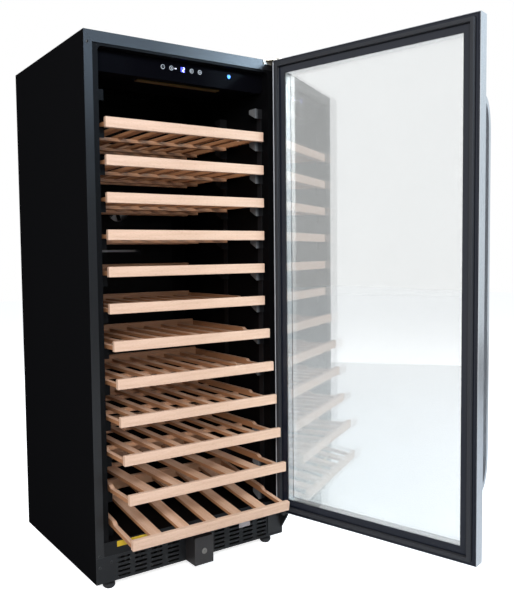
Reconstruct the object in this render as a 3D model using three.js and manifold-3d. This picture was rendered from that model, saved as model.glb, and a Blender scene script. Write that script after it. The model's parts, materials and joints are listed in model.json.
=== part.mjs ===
// A full-height wine cooler with a glass door, twelve sliding beech shelves and a bottom lock.
// Millimetres, +Z up. The origin is the middle of the base pan's underside, and the front faces -Y.
import * as THREE from "three";
import { mergeVertices } from "three/addons/utils/BufferGeometryUtils.js";
import Module from "manifold-3d";

// Cabinet
const WIDTH = 700;
const DEPTH = 616;
const HEIGHT = 1620; // from the base pan's underside to the top
const SHEET = 1.2; // outer steel panels
const GAP = 0.3; // between pieces that touch
const STILE = 26; // front flange of each side panel
const TOP_RAIL = 33; // front flange of the top panel
const KICK_TOP = 79; // top of the kick plate and of the rear grille's lower row
const FACE_TOP = 122; // top of the lower face panel
const FRONT = -DEPTH / 2;
const REAR = DEPTH / 2;
const SIDE = WIDTH / 2;

// Storage room inside the liner
const LINER = 2; // liner wall
const ROOM_HALF_WIDTH = 306;
const ROOM_FLOOR = 118;
const ROOM_CEILING = 1580;
const ROOM_FRONT = FRONT + 5;
const ROOM_REAR = REAR - 45;
const STEP_FRONT = FRONT + 428; // the floor's raised step over the compressor
const STEP_TOP = 243;
const WALL_UNDER = 36; // insulation under the floor and the step

// Feet
const FOOT_HEIGHT = 28;
const FOOT_RADIUS = 19;
const FOOT_X = 297;
const FOOT_INSET = 30; // from the front or rear face to a foot's middle

// Shelves, from the top one down
const SHELF_COUNT = 12;
const TOP_SHELF_Z = 1350;
const SHELF_PITCH = 109.4;
const BOTTOM_SHELF_Z = 128;
const SHELF_HALF_WIDTH = 286;
const SHELF_DEPTH = 496;
const SHORT_SHELF_DEPTH = 410; // the bottom shelf stops at the step
const SHELF_HOME = FRONT + 2; // front face of a shelf pushed home
const BOTTOM_SHELF_TILT = THREE.MathUtils.degToRad(8); // tipped forward over its front supports
const BAR_HEIGHT = 31; // front bar
const BAR_DEPTH = 15;
const SLAT_BOTTOM = 7;
const SLAT_TOP = 18;
const RAIL_WIDTH = 14;
const RAIL_BOTTOM = 5.5;
const RAIL_FRONT_TOP = 17;
const RAIL_REAR_TOP = 25;
const RAIL_STEP = { start: 130, end: 148 }; // where a rail rises, back from the front face
const CROSSBAR_DEPTH = 20;
const CROSSBAR_BOTTOM = -4;
const REAR_BAR_DEPTH = 16;
const REAR_BAR_TOP = 33;
const LAP = 3; // how far joined pieces run into each other
const SHELF_STYLES = {
  narrow: { slats: 7, slatWidth: 23, depth: SHELF_DEPTH, crossbars: [206, 404] },
  wide: { slats: 5, slatWidth: 38, depth: SHELF_DEPTH, crossbars: [388] },
  short: { slats: 5, slatWidth: 38, depth: SHORT_SHELF_DEPTH, crossbars: [] },
};
const DRAWN_OUT = [0, 0, 0, 0, 0, 0, 26, 45, 60, 80, 107, 121]; // each shelf's travel as modelled

// Door, in its closed place; it is modelled standing open
const DOOR_OPEN = THREE.MathUtils.degToRad(105);
const PIVOT_X = 332.4;
const PIVOT_Y = FRONT - 29.7;
const DOOR_LEFT = -348;
const DOOR_RIGHT = 349;
const DOOR_BOTTOM = 92;
const DOOR_TOP = 1616.5;
const DOOR_INNER = FRONT - 11.4; // face towards the cabinet
const DOOR_OUTER = FRONT - 53.9;
const WINDOW_INSET = 48; // from the door's edge to the clear glass
const RABBET_INSET = 31; // from the door's edge to the glass panes' edge
const GLASS = 4;
const GLASS_OUTER = DOOR_OUTER + 6; // outer face of the outer pane
const GLASS_INNER = DOOR_INNER - 4; // inner face of the inner pane
const GASKET_INSET = 14;
const GASKET_WIDTH = 12;
const PIN_RADIUS = 5;
const BUSH_RADIUS = 9;

// Handle, a bow along the door's free edge
const HANDLE_BOTTOM = 300;
const HANDLE_TOP = 1400;
const HANDLE_REACH = 41;
const HANDLE_BAR = 13;
const HANDLE_WIDTH = 22;
const HANDLE_BEND = 96;

// Lock under the door
const LOCK_X = -8;
const LOCK_HALF_WIDTH = 34;
const LOCK_FRONT = FRONT - 57;
const LOCK_TOP = 88;
const BARREL_RADIUS = 9;
const BARREL_Z = 42;
const BOLT_Y = FRONT - 31;

// Control housing under the ceiling
const FASCIA = FRONT + 34;
const HOUSING_BOTTOM = 1516;
const HOUSING_REAR = FRONT + 210;
const CONTROL_Z = 1556;
const BUTTONS = { light: -76, power: -46, warmer: 28, cooler: 58 }; // x of each push button
const BUTTON_RADIUS = 7;
const DISPLAY = { x: -8, width: 50, height: 20 };
const INDICATOR = { x: 170, radius: 6 };

// Racks that carry the shelves
const RACK_COLUMNS = [FRONT + 36, FRONT + 250]; // front of each column of blocks
const BLOCK_DEPTH = 34;
const BLOCK_HEIGHT = 32;
const BLOCK_TOE = 14; // height of a block's rear end
const BLOCK_INNER = 276; // x of the blocks' inner faces
const STRIP_THICKNESS = 2;

// Cold air and condensing units
const DUCT_FRONT = FRONT + 535;
const FAN_Z = 1150;
const CONDENSER = { x: -105, halfWidth: 145, front: FRONT + 70, rear: FRONT + 130, bottom: 6, top: 74 };
const CONDENSER_FAN_Z = 40;
const COMPRESSOR = { x: 150, y: FRONT + 505, radius: 75, height: 185 };
const GLAND = { x: -250, z: 60, radius: 11, bore: 4.5 };

const FINISHES = {
  blackSteel: { color: 0x17181a, roughness: 0.45, metalness: 0.2 },
  blackPlastic: { color: 0x0c0d0f, roughness: 0.4, metalness: 0 },
  glossBlack: { color: 0x08090b, roughness: 0.12, metalness: 0 },
  stainless: { color: 0xc9cacc, roughness: 0.3, metalness: 1 },
  zincSteel: { color: 0xb4aa96, roughness: 0.4, metalness: 0.9 },
  greyPlastic: { color: 0x6a6c70, roughness: 0.6, metalness: 0 },
  silverPlastic: { color: 0xb4b6ba, roughness: 0.35, metalness: 0.3 },
  rubber: { color: 0x101113, roughness: 0.8, metalness: 0 },
  glass: { color: 0xe8f0ee, roughness: 0.03, metalness: 0 },
  blueLight: { color: 0x1f8cff, roughness: 0.2, metalness: 0 },
  diffuser: { color: 0xe9edf2, roughness: 0.5, metalness: 0 },
  aluminium: { color: 0xd2d6d8, roughness: 0.35, metalness: 1 },
  beech: { color: 0xe3bd97, roughness: 0.55, metalness: 0 },
  foam: { color: 0xe6d9a8, roughness: 0.9, metalness: 0 },
  circuitBoard: { color: 0x1d5a33, roughness: 0.5, metalness: 0 },
};

const wasm = await Module();
wasm.setup();

// A closed geometry as a manifold-3d solid: shared corners merged, collapsed triangles dropped.
function solidOf(geometry) {
  const loose = geometry.index ? geometry.toNonIndexed() : geometry.clone();
  loose.deleteAttribute("normal");
  loose.deleteAttribute("uv");
  const merged = mergeVertices(loose, 1e-3);
  const corners = merged.index.array;
  const kept = [];
  for (let i = 0; i < corners.length; i += 3) {
    const [a, b, c] = [corners[i], corners[i + 1], corners[i + 2]];
    if (a !== b && b !== c && c !== a) kept.push(a, b, c);
  }
  const vertProperties = merged.attributes.position.array;
  return new wasm.Manifold(new wasm.Mesh({ numProp: 3, vertProperties, triVerts: new Uint32Array(kept) }));
}

function geometryOf(solid) {
  const { vertProperties, triVerts } = solid.getMesh();
  const geometry = new THREE.BufferGeometry();
  geometry.setAttribute("position", new THREE.BufferAttribute(vertProperties, 3));
  geometry.setIndex(new THREE.BufferAttribute(triVerts, 1));
  geometry.computeVertexNormals();
  return geometry;
}

const join = (...pieces) => geometryOf(pieces.map(solidOf).reduce((all, piece) => all.add(piece)));
const cut = (base, ...tools) =>
  geometryOf(tools.map(solidOf).reduce((left, tool) => left.subtract(tool), solidOf(base)));
const overlap = (a, b) => geometryOf(solidOf(a).intersect(solidOf(b)));

// A box between two limits on each axis, in either order.
function box(xs, ys, zs) {
  const size = [xs, ys, zs].map(([a, b]) => Math.abs(b - a));
  const middle = [xs, ys, zs].map(([a, b]) => (a + b) / 2);
  return new THREE.BoxGeometry(...size).translate(...middle);
}

// A shape pushed along one axis. Along X the shape lies in (Y, Z), along Y in (X, Z), along Z in (X, Y).
function prism(shape, axis, from, to, curveSegments = 4) {
  const [low, high] = [Math.min(from, to), Math.max(from, to)];
  const geometry = new THREE.ExtrudeGeometry(shape, { depth: high - low, bevelEnabled: false, curveSegments });
  const [X, Y, Z] = [new THREE.Vector3(1, 0, 0), new THREE.Vector3(0, 1, 0), new THREE.Vector3(0, 0, 1)];
  const turn = new THREE.Matrix4();
  if (axis === "x") turn.makeBasis(Y, Z, X).setPosition(low, 0, 0);
  if (axis === "y") turn.makeBasis(X, Z, Y.clone().negate()).setPosition(0, high, 0);
  if (axis === "z") turn.setPosition(0, 0, low);
  return geometry.applyMatrix4(turn);
}

const outline = (...points) => new THREE.Shape(points.map(([a, b]) => new THREE.Vector2(a, b)));

function roundedRectangle([left, right], [bottom, top], radius) {
  const shape = new THREE.Shape();
  shape.moveTo(left + radius, bottom);
  shape.absarc(right - radius, bottom + radius, radius, -Math.PI / 2, 0);
  shape.absarc(right - radius, top - radius, radius, 0, Math.PI / 2);
  shape.absarc(left + radius, top - radius, radius, Math.PI / 2, Math.PI);
  shape.absarc(left + radius, bottom + radius, radius, Math.PI, Math.PI * 1.5);
  return shape;
}

// A round bar between two heights on an axis.
function rod(axis, [a, b], radius, from, to, sides = 16) {
  const bar = new THREE.CylinderGeometry(radius, radius, Math.abs(to - from), sides);
  const middle = (from + to) / 2;
  if (axis === "y") return bar.translate(a, middle, b);
  return bar.rotateX(Math.PI / 2).translate(a, b, middle);
}

// A profile of (radius, height) points turned about a vertical axis.
function turned(points, [x, y], sides = 16) {
  const profile = points.map(([radius, height]) => new THREE.Vector2(radius, height));
  return new THREE.LatheGeometry(profile, sides).rotateX(Math.PI / 2).translate(x, y, 0);
}

// A flat ring in (X, Z) between two rectangles, each inset from the door's edge.
function doorRing(outerInset, innerInset, from, to) {
  const corners = (inset) => [
    [DOOR_LEFT + inset, DOOR_BOTTOM + inset],
    [DOOR_RIGHT - inset, DOOR_BOTTOM + inset],
    [DOOR_RIGHT - inset, DOOR_TOP - inset],
    [DOOR_LEFT + inset, DOOR_TOP - inset],
  ];
  const shape = outline(...corners(outerInset));
  shape.holes.push(outline(...corners(innerInset)));
  return prism(shape, "y", from, to);
}

const cooler = new THREE.Group();
const door = new THREE.Group();
door.position.set(PIVOT_X, PIVOT_Y, 0);
door.rotation.z = DOOR_OPEN;
cooler.add(door);

function add(name, geometry, finish, parent = cooler) {
  const mesh = new THREE.Mesh(geometry, new THREE.MeshStandardMaterial(FINISHES[finish]));
  mesh.name = name;
  parent.add(mesh);
  return mesh;
}

// The door's pieces are drawn in their closed place and carried round with the door's group.
const addToDoor = (name, geometry, finish) =>
  add(name, geometry.translate(-PIVOT_X, -PIVOT_Y, 0), finish, door);

function outerPanels() {
  for (const [name, hand] of Object.entries({ left_side_panel: -1, right_side_panel: 1 })) {
    const sheet = box([hand * SIDE, hand * (SIDE - SHEET)], [FRONT, REAR], [0, HEIGHT]);
    const mitredFlange = outline(
      [hand * SIDE, KICK_TOP],
      [hand * (SIDE - STILE), KICK_TOP],
      [hand * (SIDE - STILE), HEIGHT - TOP_RAIL - 0.5],
      [hand * SIDE, HEIGHT - 0.5],
    );
    add(name, join(sheet, prism(mitredFlange, "y", FRONT, FRONT + SHEET)), "blackSteel");
  }
  const reach = SIDE - SHEET - GAP;
  const mitreDrop = (TOP_RAIL * (SIDE - reach)) / STILE;
  const topFlange = outline(
    [-(SIDE - STILE), HEIGHT - TOP_RAIL],
    [SIDE - STILE, HEIGHT - TOP_RAIL],
    [reach, HEIGHT - mitreDrop],
    [reach, HEIGHT],
    [-reach, HEIGHT],
    [-reach, HEIGHT - mitreDrop],
  );
  const topSheet = box([-reach, reach], [FRONT, REAR], [HEIGHT - SHEET, HEIGHT]);
  add("top_panel", join(topSheet, prism(topFlange, "y", FRONT, FRONT + SHEET)), "blackSteel");
  const backTop = HEIGHT - SHEET - GAP;
  add("back_panel", box([-reach, reach], [REAR - SHEET, REAR], [STEP_TOP, backTop]), "blackSteel");
}

// One row of round-ended slots as holes in a panel's (X, Z) shape.
function punchSlots(shape, xs, z, width, height) {
  for (const x of xs) {
    const slot = new THREE.Path();
    slot.moveTo(x - width / 2 + height / 2, z - height / 2);
    slot.absarc(x + width / 2 - height / 2, z, height / 2, -Math.PI / 2, Math.PI / 2);
    slot.absarc(x - width / 2 + height / 2, z, height / 2, Math.PI / 2, Math.PI * 1.5);
    shape.holes.push(slot);
  }
}

function lowerPanels() {
  const reach = SIDE - SHEET - GAP;
  const kick = outline([-reach, 0], [reach, 0], [reach, KICK_TOP - GAP], [-reach, KICK_TOP - GAP]);
  const columns = [-259, -202, -147, -87, 87, 147, 202, 259];
  for (let row = 0; row < 5; row++) punchSlots(kick, columns, 11 + row * 14, 42, 7);
  add("kick_plate", prism(kick, "y", FRONT, FRONT + SHEET, 2), "blackSteel");

  const faceReach = SIDE - STILE - GAP;
  add(
    "lower_face_panel",
    box([-faceReach, faceReach], [FRONT, FRONT + SHEET], [KICK_TOP, FACE_TOP]),
    "blackSteel",
  );

  const grilleTop = STEP_TOP - GAP;
  const grille = outline([-reach, 3], [reach, 3], [reach, grilleTop], [-reach, grilleTop]);
  for (let row = 0; row < 5; row++) punchSlots(grille, [-80, 60, 200], 110 + row * 22, 110, 9);
  const glandHole = rod("y", [GLAND.x, GLAND.z], GLAND.radius + GAP, REAR - 3, REAR + 1, 20);
  add("rear_grille", cut(prism(grille, "y", REAR - SHEET, REAR, 2), glandHole), "blackSteel");

  const collar = rod("y", [GLAND.x, GLAND.z], GLAND.radius, REAR - 8, REAR - 0.1, 20);
  const bore = rod("y", [GLAND.x, GLAND.z], GLAND.bore, REAR - 9, REAR + 1, 20);
  add("cord_gland", cut(collar, bore), "rubber");
}

function base() {
  const panHalf = 272;
  add("base_pan", box([-panHalf, panHalf], [FRONT + 8, REAR - 8], [0, 2]), "blackSteel");
  const railInner = panHalf + 1;
  const railOuter = SIDE - SHEET - GAP;
  for (const [side, hand] of Object.entries({ left: -1, right: 1 })) {
    const angle = outline(
      [hand * railInner, 0],
      [hand * railOuter, 0],
      [hand * railOuter, 60],
      [hand * (railOuter - 2.5), 60],
      [hand * (railOuter - 2.5), 2.5],
      [hand * railInner, 2.5],
    );
    const ends = { front: FRONT + FOOT_INSET, rear: REAR - FOOT_INSET };
    const holes = Object.values(ends).map((y) => rod("z", [hand * FOOT_X, y], 6.5, -1, 4));
    const rail = prism(angle, "y", FRONT + SHEET + GAP, REAR - SHEET - GAP);
    add(`${side}_base_rail`, cut(rail, ...holes), "zincSteel");
    for (const [end, y] of Object.entries(ends)) {
      const profile = [
        [0, -FOOT_HEIGHT],
        [FOOT_RADIUS - 5, -FOOT_HEIGHT],
        [FOOT_RADIUS, -FOOT_HEIGHT + 6],
        [FOOT_RADIUS, -FOOT_HEIGHT + 14],
        [10, -FOOT_HEIGHT + 20],
        [6, -FOOT_HEIGHT + 20],
        [6, 16],
        [0, 16],
      ];
      add(`${end}_${side}_foot`, turned(profile, [hand * FOOT_X, y]), "rubber");
    }
  }
}

// The storage room as a solid, grown outwards by a wall: stepped in (Y, Z), round-cornered in (X, Z).
function room(wall, front) {
  const sides = outline(
    [front, ROOM_FLOOR - wall],
    [STEP_FRONT + wall, ROOM_FLOOR - wall],
    [STEP_FRONT + wall, STEP_TOP - wall],
    [ROOM_REAR + wall, STEP_TOP - wall],
    [ROOM_REAR + wall, ROOM_CEILING + wall],
    [front, ROOM_CEILING + wall],
  );
  const half = ROOM_HALF_WIDTH + wall;
  const mouth = roundedRectangle([-half, half], [ROOM_FLOOR - wall, ROOM_CEILING + wall], 14 + wall);
  return overlap(prism(sides, "x", -half, half), prism(mouth, "y", front - 5, ROOM_REAR + wall + 5));
}

function linerAndInsulation() {
  const lipFront = ROOM_FRONT - LINER;
  const lip = roundedRectangle([-336, 336], [96, 1600], 10);
  const shell = join(room(LINER, ROOM_FRONT), prism(lip, "y", lipFront, ROOM_FRONT));
  add("inner_liner", cut(shell, room(0, lipFront - 5)), "glossBlack");

  const reach = SIDE - SHEET - GAP;
  const under = ROOM_FLOOR - LINER - WALL_UNDER;
  const wallBlock = outline(
    [ROOM_FRONT + GAP, under],
    [STEP_FRONT - WALL_UNDER, under],
    [STEP_FRONT - WALL_UNDER, STEP_TOP - LINER - WALL_UNDER],
    [REAR - SHEET - GAP, STEP_TOP - LINER - WALL_UNDER],
    [REAR - SHEET - GAP, HEIGHT - SHEET - GAP],
    [ROOM_FRONT + GAP, HEIGHT - SHEET - GAP],
  );
  const block = prism(wallBlock, "x", -reach, reach);
  add("foam_insulation", cut(block, room(LINER + GAP, FRONT - 5)), "foam");
}

const shelfHeight = (index) =>
  index === SHELF_COUNT - 1 ? BOTTOM_SHELF_Z : TOP_SHELF_Z - index * SHELF_PITCH;

// The height of a shelf rail's underside over a point on the rack.
function railUnderside(index, y) {
  if (index < SHELF_COUNT - 1) return shelfHeight(index) + RAIL_BOTTOM;
  const back = y - (SHELF_HOME - DRAWN_OUT[index]);
  return BOTTOM_SHELF_Z + back * Math.tan(BOTTOM_SHELF_TILT) + RAIL_BOTTOM / Math.cos(BOTTOM_SHELF_TILT);
}

// Tapered blocks that carry the shelf rails, on two upright strips against the liner's wall.
function shelfRacks() {
  const wall = ROOM_HALF_WIDTH - GAP;
  const [firstColumn, lastColumn] = RACK_COLUMNS;
  for (const [side, hand] of Object.entries({ left: -1, right: 1 })) {
    const strip = (ys, zs) => box([hand * wall, hand * (wall - STRIP_THICKNESS)], ys, zs);
    const pieces = [strip([firstColumn + 5, lastColumn + 25], [FAN_Z - 10, FAN_Z + 15])];
    for (const start of RACK_COLUMNS) {
      pieces.push(strip([start + 4, start + 28], [ROOM_FLOOR + 7, TOP_SHELF_Z + 100]));
      for (let index = -1; index < SHELF_COUNT; index++) {
        const top = railUnderside(index, start) - GAP;
        const foot = Math.max(top - BLOCK_HEIGHT, ROOM_FLOOR + LINER);
        const toe = Math.max(top - BLOCK_TOE, ROOM_FLOOR + LINER);
        const end = start + BLOCK_DEPTH;
        const profile = outline([start, foot], [end, toe], [end, top], [start, top]);
        pieces.push(prism(profile, "x", hand * wall, hand * BLOCK_INNER));
      }
    }
    add(`${side}_shelf_rack`, overlap(join(...pieces), room(-GAP, ROOM_FRONT)), "greyPlastic");
  }
}

// A slatted shelf in its own frame: X centred, Y back from its front face, Z up from its front bar's foot.
function shelf({ slats, slatWidth, depth, crossbars }) {
  const inner = SHELF_HALF_WIDTH - RAIL_WIDTH;
  const across = [-inner - LAP, inner + LAP];
  const bar = roundedRectangle([-SHELF_HALF_WIDTH, SHELF_HALF_WIDTH], [0, BAR_HEIGHT], 1.5);
  const pieces = [prism(bar, "y", 0, BAR_DEPTH, 1)];

  const { start, end } = RAIL_STEP;
  const middle = (start + end) / 2;
  const rail = new THREE.Shape();
  rail.moveTo(BAR_DEPTH - LAP, RAIL_BOTTOM);
  rail.lineTo(depth, RAIL_BOTTOM);
  rail.lineTo(depth, RAIL_REAR_TOP);
  rail.lineTo(end, RAIL_REAR_TOP);
  rail.bezierCurveTo(middle, RAIL_REAR_TOP, middle, RAIL_FRONT_TOP, start, RAIL_FRONT_TOP);
  rail.lineTo(BAR_DEPTH - LAP, RAIL_FRONT_TOP);
  for (const hand of [-1, 1]) {
    pieces.push(prism(rail, "x", hand * (SHELF_HALF_WIDTH - GAP), hand * inner, 5));
  }

  const rearBar = depth - REAR_BAR_DEPTH;
  const space = (2 * inner - slats * slatWidth) / (slats + 1);
  for (let i = 0; i < slats; i++) {
    const x = -inner + space + i * (slatWidth + space);
    pieces.push(box([x, x + slatWidth], [BAR_DEPTH - LAP, rearBar + LAP], [SLAT_BOTTOM, SLAT_TOP]));
  }
  for (const y of crossbars) {
    pieces.push(box(across, [y, y + CROSSBAR_DEPTH], [CROSSBAR_BOTTOM, SLAT_BOTTOM + GAP]));
  }
  pieces.push(box(across, [rearBar - GAP, depth - GAP], [CROSSBAR_BOTTOM, REAR_BAR_TOP]));
  return join(...pieces);
}

function shelves() {
  const { narrow, wide, short } = SHELF_STYLES;
  for (let i = 0; i < SHELF_COUNT; i++) {
    const bottom = i === SHELF_COUNT - 1;
    const style = bottom ? short : i === SHELF_COUNT - 2 ? wide : narrow;
    const mesh = add(`shelf_${i + 1}`, shelf(style), "beech");
    mesh.position.set(0, SHELF_HOME - DRAWN_OUT[i], shelfHeight(i));
    if (bottom) mesh.rotation.x = BOTTOM_SHELF_TILT;
  }
}

function controls() {
  const half = ROOM_HALF_WIDTH - 2 * GAP;
  const ceiling = ROOM_CEILING - 2 * GAP;
  const hood = roundedRectangle([-half, half], [HOUSING_BOTTOM, ceiling], 15);
  const wall = 2.5;
  const hollow = box(
    [-half + wall, half - wall],
    [FASCIA + wall, HOUSING_REAR - wall],
    [HOUSING_BOTTOM + wall, HEIGHT],
  );
  const wells = Object.values(BUTTONS).map((x) =>
    rod("y", [x, CONTROL_Z], BUTTON_RADIUS + 0.4, FASCIA - 1, FASCIA + 4),
  );
  const left = DISPLAY.x - DISPLAY.width / 2;
  const right = DISPLAY.x + DISPLAY.width / 2;
  const [low, high] = [CONTROL_Z - DISPLAY.height / 2, CONTROL_Z + DISPLAY.height / 2];
  const window = box([left - GAP, right + GAP], [FASCIA - 1, FASCIA + 4], [low - GAP, high + GAP]);
  const eye = rod("y", [INDICATOR.x, CONTROL_Z], INDICATOR.radius + GAP, FASCIA - 1, FASCIA + 4);
  const housing = cut(prism(hood, "y", FASCIA, HOUSING_REAR), hollow, window, eye, ...wells);
  add("control_housing", housing, "glossBlack");
  add("display_window", box([left, right], [FASCIA - 0.6, FASCIA + 2], [low, high]), "glossBlack");
  for (const [name, x] of Object.entries(BUTTONS)) {
    const cap = rod("y", [x, CONTROL_Z], BUTTON_RADIUS, FASCIA - 1.5, FASCIA + 8);
    add(`${name}_button`, cap, "silverPlastic");
  }
  const lens = rod("y", [INDICATOR.x, CONTROL_Z], INDICATOR.radius, FASCIA - 1, FASCIA + 5);
  add("indicator_lens", lens, "blueLight");
  add("control_board", box([-120, 190], [FASCIA + 12, FASCIA + 14], [1524, 1576]), "circuitBoard");
  const lightZ = HOUSING_BOTTOM - GAP;
  add("interior_light", box([-150, 150], [FRONT + 60, FRONT + 84], [lightZ - 3, lightZ]), "diffuser");
}

// An axial fan rotor about Y: a hub and pitched blades.
function fanRotor([x, z], y, hubRadius, tipRadius, depth, blades) {
  const pieces = [rod("y", [0, 0], hubRadius, -depth / 2, depth / 2, 12)];
  for (let i = 0; i < blades; i++) {
    const span = tipRadius - hubRadius + 3;
    const blade = new THREE.BoxGeometry(span, 1.6, depth * 1.15).rotateX(THREE.MathUtils.degToRad(55));
    blade.translate(tipRadius - span / 2, 0, 0).rotateY((i * 2 * Math.PI) / blades);
    pieces.push(blade);
  }
  return join(...pieces).translate(x, y, z);
}

// A motor boss on three struts across a round opening, seen along Y.
function motorSpider([x, z], radius, bossRadius, strutY, bossY) {
  const pieces = [rod("y", [x, z], bossRadius, ...bossY, 12)];
  for (let i = 0; i < 3; i++) {
    const strut = box([bossRadius - 2, radius], strutY, [-1.5, 1.5]);
    pieces.push(strut.rotateY((i * 2 * Math.PI) / 3 + 0.3).translate(x, 0, z));
  }
  return pieces;
}

function coldAir() {
  const half = 230;
  const sheet = 2;
  const channel = outline(
    [-half, ROOM_REAR - GAP],
    [-half, DUCT_FRONT],
    [half, DUCT_FRONT],
    [half, ROOM_REAR - GAP],
    [half - sheet, ROOM_REAR - GAP],
    [half - sheet, DUCT_FRONT + sheet],
    [-half + sheet, DUCT_FRONT + sheet],
    [-half + sheet, ROOM_REAR - GAP],
  );
  const openings = [rod("y", [0, FAN_Z], 46, DUCT_FRONT - 1, DUCT_FRONT + 3, 24)];
  for (const z of [330, 550, 770, 990, 1310, 1450]) {
    openings.push(box([-90, 90], [DUCT_FRONT - 1, DUCT_FRONT + 3], [z, z + 8]));
  }
  const plate = cut(prism(channel, "z", 270, 1490), ...openings);
  const strutY = [DUCT_FRONT, DUCT_FRONT + sheet];
  const spider = motorSpider([0, FAN_Z], 48, 14, strutY, [DUCT_FRONT, DUCT_FRONT + 10]);
  add("duct_cover", join(plate, ...spider), "blackPlastic");
  add("circulation_fan", fanRotor([0, FAN_Z], DUCT_FRONT + 18, 15, 42, 12, 5), "blackPlastic");
  const panelY = [ROOM_REAR - 9, ROOM_REAR - 6];
  add("evaporator", box([-200, 200], panelY, [300, 1460]), "aluminium");
}

function condensingUnit() {
  const { x, halfWidth, front, rear, bottom, top } = CONDENSER;
  const grooves = [];
  const finPitch = 23;
  for (let i = 0; i < 12; i++) {
    const at = x - halfWidth + 14 + i * finPitch;
    grooves.push(box([at, at + 12], [front - 1, rear - 12], [bottom - 1, top + 1]));
  }
  const fins = cut(box([x - halfWidth, x + halfWidth], [front, rear], [bottom, top]), ...grooves);
  const fanHole = rod("y", [x, CONDENSER_FAN_Z], 31, rear - 20, rear + 40, 20);
  const shroud = box([x - 36, x + 36], [rear - 2, rear + 28], [bottom, top]);
  const spider = motorSpider([x, CONDENSER_FAN_Z], 32, 9, [rear + 24, rear + 28], [rear + 20, rear + 28]);
  add("condenser", join(cut(join(fins, shroud), fanHole), ...spider), "aluminium");
  const rotor = fanRotor([x, CONDENSER_FAN_Z], rear + 12, 10, 28, 9, 5);
  add("condenser_fan", rotor, "blackPlastic");

  const { x: cx, y: cy, radius, height } = COMPRESSOR;
  const dome = [[0, height - 10], [radius * 0.55, height - 16], [radius - 9, height - 48], [radius - 9, 3]];
  dome.push([radius, 3], [radius, height - 46], [radius * 0.6, height - 6], [0, height]);
  const feet = [-1, 1].map((hand) => box([cx + hand * 40, cx + hand * 92], [cy - 45, cy + 45], [2.3, 7]));
  add("compressor", join(turned(dome, [cx, cy], 20), ...feet), "blackSteel");
}

function hinges() {
  const reach = 15; // round end of an arm, about the pivot
  const start = 286;
  const tip = PIVOT_Y - reach;
  const arm = (z0, z1) => {
    const shape = new THREE.Shape();
    shape.moveTo(start, FRONT - GAP);
    shape.lineTo(PIVOT_X - 12, tip + 12);
    shape.absarc(PIVOT_X, PIVOT_Y, reach, Math.PI, Math.PI * 2);
    shape.lineTo(PIVOT_X + reach, FRONT - GAP);
    return prism(shape, "z", z0, z1);
  };
  const plate = (z0, z1) => box([start, PIVOT_X + reach], [FRONT - 2.8, FRONT - GAP], [z0, z1]);
  const pin = (z0, z1) => rod("z", [PIVOT_X, PIVOT_Y], PIN_RADIUS, z0, z1, 24);
  const upper = [arm(HEIGHT - 3, HEIGHT), plate(HEIGHT - 15, HEIGHT), pin(HEIGHT - 27, HEIGHT - 1)];
  add("top_hinge_bracket", join(...upper), "zincSteel");

  const gusset = outline([FRONT - 1, 18], [FRONT - 1, 86], [tip + 4, 86], [tip + 4, 76]);
  const rib = prism(gusset, "x", PIVOT_X + 9, PIVOT_X + 13);
  const nut = rod("z", [PIVOT_X, PIVOT_Y], 8.5, 76, 84, 6);
  const lower = [arm(83, 88), plate(12, 88), rib, nut, pin(84, 112)];
  add("bottom_hinge_bracket", join(...lower), "blackSteel");
}

function lock() {
  const sides = [LOCK_X - LOCK_HALF_WIDTH, LOCK_X + LOCK_HALF_WIDTH];
  const outer = box(sides, [LOCK_FRONT, FRONT - GAP], [0, LOCK_TOP]);
  const wall = 2.5;
  const inner = box(
    [sides[0] + wall, sides[1] - wall],
    [LOCK_FRONT + wall, FRONT],
    [wall, LOCK_TOP - wall],
  );
  const bore = BARREL_RADIUS + 2 * GAP;
  const barrelHole = rod("y", [LOCK_X, BARREL_Z], bore, LOCK_FRONT - 1, LOCK_FRONT + 4, 24);
  const boltSlot = box(
    [LOCK_X - 11.5, LOCK_X + 11.5],
    [BOLT_Y - 4.5, BOLT_Y + 4.5],
    [LOCK_TOP - 4, LOCK_TOP + 1],
  );
  add("lock_housing", cut(outer, inner, barrelHole, boltSlot), "blackSteel");
  const barrel = rod("y", [LOCK_X, BARREL_Z], BARREL_RADIUS, LOCK_FRONT - 2, LOCK_FRONT + 34, 24);
  const keyway = box(
    [LOCK_X - 1, LOCK_X + 1],
    [LOCK_FRONT - 3, LOCK_FRONT + 8],
    [BARREL_Z - 4, BARREL_Z + 4],
  );
  add("lock_barrel", cut(barrel, keyway), "zincSteel");
  const bolt = box([LOCK_X - 11, LOCK_X + 11], [BOLT_Y - 4, BOLT_Y + 4], [BARREL_Z + 10.5, LOCK_TOP - 1]);
  add("lock_bolt", bolt, "zincSteel");
}

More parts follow.
